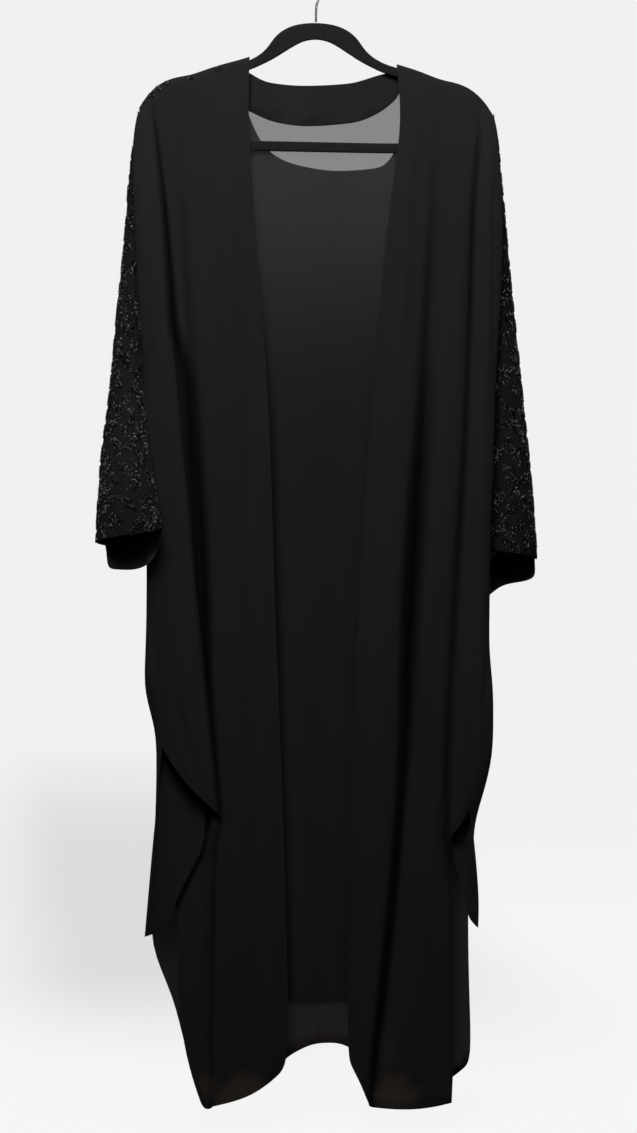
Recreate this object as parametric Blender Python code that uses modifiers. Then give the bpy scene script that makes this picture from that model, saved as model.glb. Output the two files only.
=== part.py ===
"""Open-front abaya cloak hanging flat on a slim hanger.

The cloak is cut as a wide back, two fronts, two draped side wings, two sleeves with satin linings, a back neck
facing and a second back layer. Left and right are as seen from the front.

Metres, +X to the right seen from the front, +Z up, and the front faces -Y. The origin is the inside top of the
hook, where a rail carries the hanger. The tables below are in millimetres: x is across, y is deep and drop is the
distance down from the origin.
"""

from collections import namedtuple
from math import cos, pi, radians, sin

import bmesh
import bpy
from mathutils import Vector

MM = 0.001
WELD = 0.00002  # metres, where the two ends of a grid meet

# Cloth and seams
CLOTH_WALL = 1.2
BEADED_WALL = 1.6
LINING_WALL = 1.0
SEAM_GAP = 0.3
LAP = (CLOTH_WALL + LINING_WALL) / 2 + SEAM_GAP  # a thin layer lying on a cloth wall, centre to centre
SEAM_LAP = CLOTH_WALL + SEAM_GAP  # two cloth walls lying on each other, centre to centre

# Hanger
HANGER_HALF = 3.5
HANGER_CHAMFER = 1.2
HANGER_TILT = 0.02  # the right arm hangs a little lower, as a share of x
WIRE_RADIUS = 1.9
HOOK_RADIUS = 19.0  # inside the hook
HOOK_FOOT = 79.6  # the wire ends just above the hump

# How the cloth leaves the shoulder
NECK_CORNER = 38.0  # beyond the neck the back comes up on top of the arm over this width
TURN_OVER_ARM = 6.0  # over this drop the cloth turns from the seam to the face of the arm
FRONT_FACE = -5.5
BACK_FACE = 6.3
UNDERARM = 330
SEAM_END = 1230  # the side seams end here and the hem sweeps round to the back
SIDE_ROUND = 26  # from each side edge the back takes this far to reach its own depth
SHOULDER_TIP = {"left": 205, "right": 209}
ARMHOLE_GAP = 2.0
CAP_BLEND = 42  # below the armhole seam the sleeve swells to its own width over this drop

SIDES = {"left": -1, "right": 1}

# The shoulder seam before the tilt: out is the distance from the middle
Shoulder = namedtuple("Shoulder", "out drop")
SHOULDER = [
    Shoulder(92, 130.5),
    Shoulder(109, 136),
    Shoulder(140, 145),
    Shoulder(175, 157.5),
    Shoulder(200, 163),
    Shoulder(218, 171),
    Shoulder(228, 178),
    Shoulder(238, 190),
    Shoulder(246, 203),
    Shoulder(251, 216),
]

# The hanger's right half before the tilt, from the hump down the arm, round its end and back along the lower bar
Rib = namedtuple("Rib", "outer_x outer_drop inner_x inner_drop")
HANGER_RIBS = [
    Rib(0, 80, 0, 104),
    Rib(34, 84, 14, 106),
    Rib(57, 99, 26, 111),
    Rib(67, 117, 43, 122),
    Rib(80, 128.5, 63, 135),
    Rib(91, 134.2, 80, 143),
    Rib(100, 138.6, 94, 150),
    Rib(140, 148.8, 136, 161),
    Rib(175, 161.4, 169, 174),
    Rib(200, 167.2, 192, 180),
    Rib(216, 175.6, 206, 186),
    Rib(225, 184.5, 213, 193),
    Rib(229, 197, 216, 201),
    Rib(228, 213, 214, 212),
    Rib(218, 234, 205, 224),
    Rib(199, 250, 188, 237),
    Rib(168, 259, 162, 245.5),
    Rib(110, 262, 108, 248),
    Rib(55, 262, 54, 248),
    Rib(0, 262, 0, 248),
]

# Back neck edge, facing and the scooped top of the second layer, across from left to right
NeckEdge = namedtuple("NeckEdge", "x drop")
BACK_NECK = [
    NeckEdge(-110, 140),
    NeckEdge(-93, 150),
    NeckEdge(-69, 163),
    NeckEdge(-17, 168),
    NeckEdge(46, 165),
    NeckEdge(88, 153),
    NeckEdge(110, 148),
    NeckEdge(128, 145),
]
FACING_EDGE = [
    NeckEdge(-95, 203),
    NeckEdge(-59, 219),
    NeckEdge(-14, 225),
    NeckEdge(53, 220),
    NeckEdge(94, 203),
    NeckEdge(122, 177),
]
UNDERLAYER_EDGE = [
    NeckEdge(-214, 180),
    NeckEdge(-140, 160),
    NeckEdge(-109, 168),
    NeckEdge(-92, 225),
    NeckEdge(-63, 265),
    NeckEdge(-22, 281),
    NeckEdge(32, 288),
    NeckEdge(90, 284),
    NeckEdge(111, 277),
    NeckEdge(124, 235),
    NeckEdge(138, 176),
    NeckEdge(160, 168),
    NeckEdge(214, 188),
]

# Where the fronts run: the opening edge, the long soft crest, the lip and floor of the deep fold, the second crest
# and the side edge. First x, then y.
Front = namedtuple("Front", "drop opening crest lip floor second edge")
FRONT_X = {
    "left": [
        Front(150, -93, -122, -160, -182, -208, -246),
        Front(203, -95, -125, -168, -190, -214, -247),
        Front(255, -92, -126, -174, -195, -215, -241.7),
        Front(330, -88, -126, -174, -192, -211, -234),
        Front(508, -74, -120, -164, -183, -202, -227),
        Front(669, -64, -113, -159, -175, -193, -225),
        Front(840, -59, -106, -153, -167, -184, -225),
        Front(1028, -52, -99, -147, -159, -177, -221),
        Front(1075, -50, -97, -144, -156, -175, -215),
        Front(1191, -46, -92, -137, -149, -169, -216),
        Front(1255, -44, -92, -141, -150, -170, -208),
        Front(1316, -42, -92, -144, -151, -171, -193),
        Front(1473, -39, -92, -145, -150, -168, -192),
        Front(1543, -39, -92, -143, -148, -163, -178),
        Front(1600, -40, -92, -141, -146, -154, -158),
    ],
    "right": [
        Front(150, 113, 132, 157, 177, 204, 244),
        Front(208, 121, 138, 160, 178, 206, 247),
        Front(255, 115, 134, 158, 177, 203, 242),
        Front(330, 104, 129, 154, 172, 201, 234),
        Front(508, 87, 115, 143, 160, 192, 227),
        Front(669, 74, 105, 135, 149, 180, 223),
        Front(840, 63, 92, 121, 137, 169, 224),
        Front(1028, 54, 85, 116, 127, 158, 224),
        Front(1120, 51, 82, 113, 124, 154, 219),
        Front(1191, 49, 80, 111, 121, 150, 212),
        Front(1316, 47, 75, 101, 111, 145, 193),
        Front(1473, 45, 66, 87, 93, 130, 193),
        Front(1543, 45, 62, 77, 83, 120, 192),
        Front(1600, 45, 60, 72, 79, 118, 189),
    ],
}
FRONT_Y = {
    "left": [
        Front(150, -5.5, -5.5, -5.5, -5.5, -5.5, -5.2),
        Front(330, -9, -15, -14, -6.5, -6.5, -5),
        Front(420, -11, -21, -20, -5, -6, -0.8),
        Front(700, -13, -26, -24, -4, -7, -0.8),
        Front(1190, -14, -26, -24, -5, -8, -0.8),
        Front(1320, -14, -26, -24, -5, -8, -5),
        Front(1600, -14, -25, -22, -7, -10, -9),
    ],
    "right": [
        Front(150, -5.5, -5.5, -5.5, -5.5, -5.5, -5.2),
        Front(330, -9, -15, -13, -6, -8, -5),
        Front(420, -11, -21, -19, -4, -9, -0.8),
        Front(700, -13, -26, -24, -2, -11, -0.8),
        Front(1190, -14, -27, -24, -3, -12, -0.8),
        Front(1320, -14, -27, -24, -3, -12, -5),
        Front(1600, -14, -25, -22, -6, -12, -9),
    ],
}

# Hems, from one edge of a piece (0) to its other edge (1)
Hem = namedtuple("Hem", "part drop")
FRONT_HEM = {
    "left": [Hem(0, 1536), Hem(0.2, 1578), Hem(0.4, 1593), Hem(0.7, 1600), Hem(0.9, 1597), Hem(1, 1588)],
    "right": [Hem(0, 1526), Hem(0.2, 1560), Hem(0.38, 1586), Hem(0.6, 1598), Hem(0.85, 1600), Hem(1, 1591)],
}
BACK_HEM = [
    Hem(0, 1581),
    Hem(0.1, 1592),
    Hem(0.24, 1572),
    Hem(0.37, 1527),
    Hem(0.47, 1513),
    Hem(0.53, 1513),
    Hem(0.64, 1536),
    Hem(0.74, 1578),
    Hem(0.84, 1590),
    Hem(0.92, 1566),
    Hem(1, 1537),
]

# The back's armhole and side edges
BackEdge = namedtuple("BackEdge", "drop left right")
BACK_EDGES = [
    BackEdge(150, -246, 244),
    BackEdge(203, -247, 247),
    BackEdge(255, -241.7, 242),
    BackEdge(330, -234, 234),
    BackEdge(508, -227, 227),
    BackEdge(669, -225, 223),
    BackEdge(840, -225, 223),
    BackEdge(1028, -222, 225),
    BackEdge(1075, -216, 224),
    BackEdge(1120, -216, 220),
    BackEdge(1182, -217, 213),
    BackEdge(1253, -221, 213),
    BackEdge(1333, -231, 214),
    BackEdge(1368, -237, 214),
    BackEdge(1401, -221, 213),
    BackEdge(1424, -205, 214),
    BackEdge(1467, -195, 217),
    BackEdge(1509, -188, 219),
    BackEdge(1543, -178, 219),
    BackEdge(1583, -162, 205),
]

# Long soft folds down the back: a ridge runs from x_top to x_hem, rises away from the middle and fades in
Ridge = namedtuple("Ridge", "x_top x_hem rise spread start")
BACK_RIDGES = [
    Ridge(-196, -176, 7.0, 15, 330),
    Ridge(-138, -128, -6.0, 18, 420),
    Ridge(-84, -84, 7.5, 17, 250),
    Ridge(-22, -36, -5.0, 21, 480),
    Ridge(34, 22, 6.5, 18, 300),
    Ridge(92, 74, -6.0, 16, 520),
    Ridge(146, 126, 7.0, 17, 270),
    Ridge(198, 180, -5.0, 14, 400),
]

# Side wings: the inner and outer edges of the front leaf, the inner end of the back leaf, and their depths
Wing = namedtuple("Wing", "drop inner outer back_inner front_y back_y")
WINGS = {
    "left": [
        Wing(186, -230, -238, -232, -8.2, -6.7),
        Wing(212, -227, -249, -232, -13, -7.5),
        Wing(252, -223, -255, -234, -20, -10.5),
        Wing(305, -214, -255, -226, -25, -13.5),
        Wing(358, -210, -252, -222, -28, -14.5),
        Wing(440, -203, -248, -214, -30, -14.5),
        Wing(508, -199, -244, -209, -31, -14.5),
        Wing(600, -193, -236, -203, -32, -14.5),
        Wing(680, -185, -235, -196, -33, -14.5),
        Wing(780, -175, -235, -188, -33, -14.5),
        Wing(862, -168, -235, -182, -34, -14.5),
        Wing(960, -156, -236, -175, -35, -15),
        Wing(1001, -153, -242, -171, -36, -15),
        Wing(1028, -150, -236, -168, -36, -15),
        Wing(1065, -146, -222, -164, -36, -15),
        Wing(1131, -139, -221, -158, -35, -15.5),
        Wing(1191, -133, -223, -154, -34, -15.5),
        Wing(1253, -133, -225, -154, -34, -15.5),
        Wing(1333, -133, -232, -154, -34, -15.5),
        Wing(1357, -133, -238, -154, -34, -15.5),
    ],
    "right": [
        Wing(190, 229, 236, 231, -8.2, -6.7),
        Wing(215, 228, 248, 233, -12, -7.5),
        Wing(252, 226, 255, 236, -18, -10.5),
        Wing(300, 220, 257, 231, -24, -13.5),
        Wing(358, 218, 260, 229, -27, -16),
        Wing(413, 217, 259, 228, -29, -17),
        Wing(511, 214, 254, 225, -31, -17),
        Wing(592, 211, 249, 222, -32, -17),
        Wing(680, 207, 247, 218, -33, -17),
        Wing(798, 200, 242, 213, -34, -17),
        Wing(888, 194, 241, 207, -34, -17),
        Wing(970, 190, 240, 203, -35, -17.5),
        Wing(1012, 187, 246, 201, -36, -17.5),
        Wing(1079, 184, 246, 198, -36, -17.5),
        Wing(1110, 183, 245, 196, -36, -17.5),
        Wing(1158, 181, 232, 193, -35, -17.5),
        Wing(1182, 181, 218, 191, -35, -17.5),
        Wing(1238, 182, 218, 189, -34, -17.5),
        Wing(1300, 182, 227, 189, -34, -17.5),
        Wing(1344, 182, 225, 189, -34, -17.5),
    ],
}
WING_TOP = {
    "left": [Hem(0, 188), Hem(0.25, 192), Hem(0.4, 203), Hem(0.5, 212), Hem(0.6, 205), Hem(0.8, 196), Hem(1, 192)],
    "right": [Hem(0, 190), Hem(0.25, 194), Hem(0.4, 205), Hem(0.5, 216), Hem(0.6, 208), Hem(0.8, 198), Hem(1, 194)],
}
WING_HEM = {
    "left": [
        Hem(0, 1191),
        Hem(0.17, 1153),
        Hem(0.33, 1108),
        Hem(0.39, 1092),
        Hem(0.44, 1132),
        Hem(0.5, 1357),
        Hem(0.67, 1352),
        Hem(0.75, 1320),
        Hem(0.83, 1283),
        Hem(0.92, 1250),
        Hem(1, 1222),
    ],
    "right": [
        Hem(0, 1222),
        Hem(0.17, 1206),
        Hem(0.33, 1190),
        Hem(0.39, 1184),
        Hem(0.44, 1190),
        Hem(0.5, 1344),
        Hem(0.67, 1330),
        Hem(0.75, 1306),
        Hem(0.83, 1281),
        Hem(0.92, 1256),
        Hem(1, 1236),
    ],
}

# Sleeves: the outer and inner edges of the tube, where its middle lies and half its depth
Sleeve = namedtuple("Sleeve", "drop outer inner middle_y half_depth")
SLEEVES = {
    "left": [
        Sleeve(205, -250, -246, 0, 5),
        Sleeve(252, -255, -246, 0, 9),
        Sleeve(300, -262, -243, 2, 13),
        Sleeve(346, -265, -241, 5, 18),
        Sleeve(413, -271, -237, 7, 22),
        Sleeve(508, -281, -239, 5, 23),
        Sleeve(581, -286, -239, -8, 23),
        Sleeve(648, -293, -238.5, -27, 23),
        Sleeve(690, -297, -230, -46, 23),
        Sleeve(730, -300, -222, -55, 24),
        Sleeve(812, -303, -209, -63, 25),
    ],
    "right": [
        Sleeve(209, 250, 246, 0, 5),
        Sleeve(252, 255, 246, 0, 9),
        Sleeve(300, 259, 243, 2, 13),
        Sleeve(346, 264, 241, 6, 18),
        Sleeve(413, 270, 237, 9, 22),
        Sleeve(508, 280, 239, 12, 23),
        Sleeve(629, 293, 238, 14, 23),
        Sleeve(734, 304, 234, 15, 24),
        Sleeve(830, 311, 231, 16, 25),
    ],
}
# Round a tube: 0 is its inner side, 0.25 the front, 0.5 the outer side and 0.75 the back
SLEEVE_HEM = {
    "left": [Hem(0, 788), Hem(0.25, 799), Hem(0.5, 809), Hem(0.75, 816), Hem(1, 788)],
    "right": [Hem(0, 811), Hem(0.25, 823), Hem(0.5, 830), Hem(0.75, 836), Hem(1, 811)],
}
SLEEVE_LINING_TOP = 735
SLEEVE_LINING_HEM = {
    "left": [
        Hem(0, 792),
        Hem(0.25, 795),
        Hem(0.42, 803),
        Hem(0.5, 836),
        Hem(0.56, 845),
        Hem(0.75, 847),
        Hem(0.88, 836),
        Hem(1, 792),
    ],
    "right": [
        Hem(0, 886),
        Hem(0.12, 830),
        Hem(0.25, 816),
        Hem(0.42, 826),
        Hem(0.5, 852),
        Hem(0.62, 862),
        Hem(0.78, 868),
        Hem(0.9, 884),
        Hem(1, 886),
    ],
}
Inset = namedtuple("Inset", "drop outer inner depth")
SLEEVE_LINING_INSET = {
    "left": [Inset(735, 2.0, 2.0, 2.0), Inset(790, 6, 3, 3), Inset(813, 14, 4, 4), Inset(850, 16, 12, 6)],
    "right": [Inset(735, 2.0, 2.0, 2.0), Inset(800, 2.2, 3, 3), Inset(850, 2.4, 4, 4), Inset(890, 6, 5, 5)],
}

FACING_ENDS = (-95.5, 120)
UNDERLAYER_SHOULDER = 205
UNDERLAYER_HALF_WIDTH = 178
UNDERLAYER_HEM = 1449
FIRST_ROWS = (2.0, 6.0)  # two short rows under each top edge, where the cloth turns over the arm

Finish = namedtuple("Finish", "colour roughness metallic")
GEORGETTE = Finish((0.012, 0.011, 0.012), 0.82, 0.0)
SATIN = Finish((0.006, 0.006, 0.007), 0.34, 0.0)
BEADED = Finish((0.014, 0.013, 0.014), 0.55, 0.0)
VELVET = Finish((0.018, 0.017, 0.018), 0.95, 0.0)
STEEL = Finish((0.62, 0.62, 0.63), 0.24, 1.0)


def track(rows, name, key="drop"):
    """A smooth run through one column of a table, which never swings past its rows."""
    at = [getattr(row, key) for row in rows]
    value = [getattr(row, name) for row in rows]
    steep = [(value[i + 1] - value[i]) / (at[i + 1] - at[i]) for i in range(len(at) - 1)]
    lean = [steep[0]]
    for before, after in zip(steep, steep[1:]):
        lean.append(2 * before * after / (before + after) if before * after > 0 else 0.0)
    lean.append(steep[-1])

    def read(where):
        where = min(max(where, at[0]), at[-1])
        i = max(k for k in range(len(at) - 1) if at[k] <= where)
        span = at[i + 1] - at[i]
        t = (where - at[i]) / span
        ends = value[i] * (1 + 2 * t) * (1 - t) ** 2 + value[i + 1] * t * t * (3 - 2 * t)
        return ends + span * t * (1 - t) * (lean[i] * (1 - t) - lean[i + 1] * t)

    return read


def along(points, u):
    """The place u, from 0 to 1, on a smooth curve through a few plan points."""
    last = len(points) - 1
    i = min(int(u * last), last - 1)
    t = u * last - i
    before, start, end, after = (points[min(max(i + k, 0), last)] for k in (-1, 0, 1, 2))

    def blend(a, b, c, d):
        return 0.5 * (2 * b + (c - a) * t + (2 * a - 5 * b + 4 * c - d) * t * t + (3 * b - a - 3 * c + d) * t**3)

    return tuple(blend(*values) for values in zip(before, start, end, after))


def ease(t):
    """0 to 1 with a soft start and a soft end."""
    t = min(max(t, 0.0), 1.0)
    return t * t * (3 - 2 * t)


def mix(a, b, share):
    return a + (b - a) * share


shoulder_line = track(SHOULDER, "drop", key="out")
back_neck = track(BACK_NECK, "drop", key="x")
facing_edge = track(FACING_EDGE, "drop", key="x")
underlayer_edge = track(UNDERLAYER_EDGE, "drop", key="x")
back_edge = {side: track(BACK_EDGES, side) for side in SIDES}


def shoulder(x):
    """Drop of the shoulder seam at x."""
    return shoulder_line(abs(x)) + HANGER_TILT * x


def turned(y, below, edge):
    """Depth of cloth that turns from the seam on top of the arm to the face at y."""
    return mix(edge, y, sin(min(1.0, below / TURN_OVER_ARM) * pi / 2))


def settled(guess, edge_at, x_at):
    """The drop where a column meets an edge that is given by x."""
    for _ in range(6):
        guess = edge_at(x_at(guess))
    return guess


# Materials and objects


def material(name, finish):
    made = bpy.data.materials.new(name)
    made.use_nodes = True
    shader = made.node_tree.nodes["Principled BSDF"]
    shader.inputs["Base Color"].default_value = (*finish.colour, 1)
    shader.inputs["Roughness"].default_value = finish.roughness
    shader.inputs["Metallic"].default_value = finish.metallic
    made.diffuse_color = (*finish.colour, 1)
    return made


def finish_object(name, bm, finish):
    """Turns a bmesh into a smooth named object with its own material."""
    mesh = bpy.data.meshes.new(name)
    bm.to_mesh(mesh)
    bm.free()
    for face in mesh.polygons:
        face.use_smooth = True
    mesh.materials.append(material(name, finish))
    made = bpy.data.objects.new(name, mesh)
    cloak.objects.link(made)
    return made


def placed_grid(columns, rows, place):
    """A flat grid whose points move to place(u, v), with both parts from 0 to 1."""
    bm = bmesh.new()
    bmesh.ops.create_grid(bm, x_segments=columns, y_segments=rows, size=0.5)
    for vert in bm.verts:
        vert.co = place(vert.co.x + 0.5, 0.5 - vert.co.y) * MM
    return bm


def cloth(name, size, point, top, hem, wall, finish):
    """A cloth wall hung from top(u) to hem(u), at point(u, drop, distance below the top edge).

    Under two short rows the rows lie at shared drops, and each column stops at its own top and hem.
    """
    columns, rows = size
    highest = min(top(k / columns) for k in range(columns + 1)) + FIRST_ROWS[1]
    lowest = max(hem(k / columns) for k in range(columns + 1))
    step = (lowest - highest) / (rows - 2)

    def place(u, v):
        row = round(v * rows)
        upper, lower = top(u), hem(u)
        first = upper + FIRST_ROWS[1]
        drop = upper + (0.0, *FIRST_ROWS)[row] if row < 3 else highest + step * (row - 2)
        if row > 2 and drop < first + 0.45 * step:
            drop = first
        if drop > lower - 0.45 * step:
            drop = lower
        x, y = point(u, drop, drop - upper)
        return Vector((x, y, -drop))

    bm = placed_grid(columns, rows, place)
    bmesh.ops.remove_doubles(bm, verts=bm.verts, dist=WELD)
    bmesh.ops.recalc_face_normals(bm, faces=bm.faces)
    made = finish_object(name, bm, finish)
    skin = made.modifiers.new("cloth wall", "SOLIDIFY")
    skin.thickness = wall * MM
    skin.offset = 0
    skin.use_quality_normals = True
    return made


# Hanger


def hanger_frame():
    """A flat ring: hump, two arms and a lower bar, with a chamfered section."""
    right = HANGER_RIBS
    left = [Rib(-rib.outer_x, rib.outer_drop, -rib.inner_x, rib.inner_drop) for rib in reversed(right[1:-1])]
    ring = right + left
    around = 8

    def place(u, v):
        rib = ring[round(u * len(ring)) % len(ring)]
        outer = Vector((rib.outer_x, 0, -rib.outer_drop - HANGER_TILT * rib.outer_x))
        inner = Vector((rib.inner_x, 0, -rib.inner_drop - HANGER_TILT * rib.inner_x))
        cut = HANGER_CHAMFER / (inner - outer).length
        edge = HANGER_HALF - HANGER_CHAMFER
        section = [
            (0, -edge),
            (cut, -HANGER_HALF),
            (1 - cut, -HANGER_HALF),
            (1, -edge),
            (1, edge),
            (1 - cut, HANGER_HALF),
            (cut, HANGER_HALF),
            (0, edge),
        ]
        share, depth = section[round(v * around) % around]
        return outer.lerp(inner, share) + Vector((0, depth, 0))

    bm = placed_grid(len(ring), around, place)
    bmesh.ops.remove_doubles(bm, verts=bm.verts, dist=WELD)
    bmesh.ops.recalc_face_normals(bm, faces=bm.faces)
    return finish_object("hanger_frame", bm, VELVET)


def hanger_hook():
    """A wire that rises from the hump, swings to the right and goes over the rail."""
    reach = HOOK_RADIUS + WIRE_RADIUS
    stem = [(0, HOOK_FOOT), (0, 62), (0.8, 54), (4.4, 46)]
    turns = [radians(angle) for angle in range(-55, 201, 15)]
    path = stem + [(reach * cos(turn), HOOK_RADIUS - reach * sin(turn)) for turn in turns]
    curve = bpy.data.curves.new("hanger_hook", "CURVE")
    curve.dimensions = "3D"
    curve.bevel_depth = WIRE_RADIUS * MM
    curve.bevel_resolution = 2
    curve.use_fill_caps = True
    wire = curve.splines.new("POLY")
    wire.points.add(len(path) - 1)
    for point, (x, drop) in zip(wire.points, path):
        point.co = (x * MM, 0, -drop * MM, 1)
    curve.materials.append(material("hanger_hook", STEEL))
    made = bpy.data.objects.new("hanger_hook", curve)
    cloak.objects.link(made)
    return made


# Fronts


def front_panel(side):
    names = Front._fields[1:]
    x_runs = [track(FRONT_X[side], name) for name in names]
    y_runs = [track(FRONT_Y[side], name) for name in names]
    hem = track(FRONT_HEM[side], "drop", key="part")

    def plan(u, drop):
        return along([(x(drop), y(drop)) for x, y in zip(x_runs, y_runs)], u)

    def top(u):
        return settled(160, shoulder, lambda drop: plan(u, drop)[0])

    def point(u, drop, below):
        x, y = plan(u, drop)
        return x, turned(y, below, -SEAM_LAP / 2)

    return cloth(f"front_panel_{side}", (15, 22), point, top, hem, CLOTH_WALL, GEORGETTE)


# Back


def back_depth(x, drop):
    """Depth of the back, with its long folds."""
    depth = mix(BACK_FACE, 16, ease((drop - 262) / 380))
    for ridge in BACK_RIDGES:
        share = ease((drop - ridge.start) / 500)
        middle = mix(ridge.x_top, ridge.x_hem, (drop - 200) / 1400)
        depth += ridge.rise * share * (1 - min(1.0, abs(x - middle) / (2 * ridge.spread)) ** 2) ** 2
    return depth


def back_panel():
    """The wide back. Its sides come forward to the side seams below the armholes."""
    hem = track(BACK_HEM, "drop", key="part")

    def plan(u, drop):
        left, right = back_edge["left"](drop), back_edge["right"](drop)
        x = mix(left, right, u)
        depth = back_depth(x, drop)
        seam_y = mix(BACK_FACE - 1, SEAM_LAP / 2, ease((drop - UNDERARM) / 90))
        seam_y = mix(seam_y, depth - 2, ease((drop - SEAM_END) / 120))
        return x, mix(seam_y, depth, ease(min(x - left, right - x) / SIDE_ROUND))

    def in_neck(x):
        return BACK_NECK[0].x < x < BACK_NECK[-1].x

    def top(u):
        return settled(170, lambda x: back_neck(x) if in_neck(x) else shoulder(x), lambda drop: plan(u, drop)[0])

    def point(u, drop, below):
        x, y = plan(u, drop)
        from_neck = max(BACK_NECK[0].x - x, x - BACK_NECK[-1].x, 0)
        return x, turned(y, below, mix(BACK_FACE, SEAM_LAP / 2, ease(from_neck / NECK_CORNER)))

    return cloth("back_panel", (34, 22), point, top, hem, CLOTH_WALL, GEORGETTE)


def back_underlayer():
    """The second back layer, just inside the back, with a scooped top edge."""

    def point(u, drop, below):
        half = mix(UNDERLAYER_SHOULDER, UNDERLAYER_HALF_WIDTH, ease((drop - 200) / 200))
        x = mix(-half, half, u)
        return x, back_depth(x, drop) - LAP - 0.2 - 3.2 * ease((drop - 262) / 60)

    def top(u):
        return underlayer_edge(mix(-UNDERLAYER_SHOULDER, UNDERLAYER_SHOULDER, u))

    return cloth("back_underlayer", (24, 18), point, top, lambda u: UNDERLAYER_HEM, LINING_WALL, GEORGETTE)


def neck_facing():
    """A crescent inside the back neck, made from the back's own points and moved in."""
    first, last = FACING_ENDS

    def point(u, drop, below):
        x = mix(first, last, u)
        return x, back_depth(x, drop) - LAP

    def top(u):
        return back_neck(mix(first, last, u)) + 0.4

    def hem(u):
        return facing_edge(mix(first, last, u))

    return cloth("neck_facing", (16, 5), point, top, hem, LINING_WALL, GEORGETTE)


# Side wings


def side_wing(side):
    """A draped wing: a front leaf, a fold at the outer edge and a longer back leaf."""
    run = {name: track(WINGS[side], name) for name in Wing._fields[1:]}
    top = track(WING_TOP[side], "drop", key="part")
    hem = track(WING_HEM[side], "drop", key="part")
    out = SIDES[side]

    def point(u, drop, below):
        inner, outer, back_inner = run["inner"](drop), run["outer"](drop), run["back_inner"](drop)
        front_y, back_y = run["front_y"](drop), run["back_y"](drop)
        roll = min(16.0, 0.3 * abs(outer - inner)) * out
        plan = [
            (inner, mix(back_y, front_y, 0.75)),
            (mix(inner, outer, 0.4), front_y),
            (outer - roll, mix(back_y, front_y, 0.94)),
            (outer, (front_y + back_y) / 2),
            (outer - roll, back_y),
            (mix(outer - roll, back_inner, 0.5), back_y),
            (back_inner, back_y),
        ]
        return along(plan, u)

    return cloth(f"side_wing_{side}", (18, 26), point, top, hem, CLOTH_WALL, GEORGETTE)


# Sleeves


def tube_point(side, u, outer, inner, middle_y, half_depth):
    """A place round a flattened tube: 0 at the inner side, 0.25 at the front."""
    x = (outer + inner) / 2 + (inner - outer) / 2 * cos(2 * pi * u)
    return x, middle_y - half_depth * sin(2 * pi * u)


def sleeve(side):
    """A beaded tube, sewn to the armhole edges of front and back along its slanting top."""
    run = {name: track(SLEEVES[side], name) for name in Sleeve._fields[1:]}
    armhole = track(FRONT_X[side], "edge")
    hem = track(SLEEVE_HEM[side], "drop", key="part")
    out = SIDES[side]

    def top(u):
        return mix(UNDERARM, SHOULDER_TIP[side], (1 - cos(2 * pi * u)) / 2)

    def point(u, drop, below):
        ring = tube_point(side, u, *(run[name](drop) for name in Sleeve._fields[1:]))
        turn = sin(2 * pi * u)
        face = FRONT_FACE if turn > 0 else BACK_FACE - 1
        seam = (armhole(top(u)) + out * ARMHOLE_GAP, face * min(1.0, 1.6 * abs(turn)))
        share = ease(below / CAP_BLEND)
        return tuple(mix(a, b, share) for a, b in zip(seam, ring))

    return cloth(f"sleeve_{side}", (16, 18), point, top, hem, BEADED_WALL, BEADED)


def sleeve_lining(side):
    """The satin tube inside the cuff. Its back hangs below the beaded hem."""
    run = {name: track(SLEEVES[side], name) for name in Sleeve._fields[1:]}
    inset = {name: track(SLEEVE_LINING_INSET[side], name) for name in Inset._fields[1:]}
    hem = track(SLEEVE_LINING_HEM[side], "drop", key="part")
    out = SIDES[side]

    def point(u, drop, below):
        outer = run["outer"](drop) - out * inset["outer"](drop)
        inner = run["inner"](drop) + out * inset["inner"](drop)
        return tube_point(side, u, outer, inner, run["middle_y"](drop), run["half_depth"](drop) - inset["depth"](drop))

    name = f"sleeve_lining_{side}"
    return cloth(name, (16, 6), point, lambda u: SLEEVE_LINING_TOP, hem, LINING_WALL, SATIN)


for old in list(bpy.data.objects):
    bpy.data.objects.remove(old, do_unlink=True)
cloak = bpy.data.collections.new("abaya_cloak_on_hanger")
bpy.context.scene.collection.children.link(cloak)

hanger_frame()
hanger_hook()
back_panel()
back_underlayer()
neck_facing()
for side in SIDES:
    front_panel(side)
    side_wing(side)
    sleeve(side)
    sleeve_lining(side)
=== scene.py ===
# %% [markdown]
# An open-front abaya cloak in black georgette, hanging flat on a slim velvet hanger. Every piece of cloth
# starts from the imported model, which already has the cut and the large folds. This lesson adds what a
# camera sees up close: the thin smooth shell, the small creases, the sheer cloth, the beadwork and the
# sewing.

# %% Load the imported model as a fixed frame
import math
import random
from collections import namedtuple

import bmesh
import bpy
import numpy as np
from mathutils import Matrix, Vector
from mathutils.bvhtree import BVHTree
from mathutils.kdtree import KDTree


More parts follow.
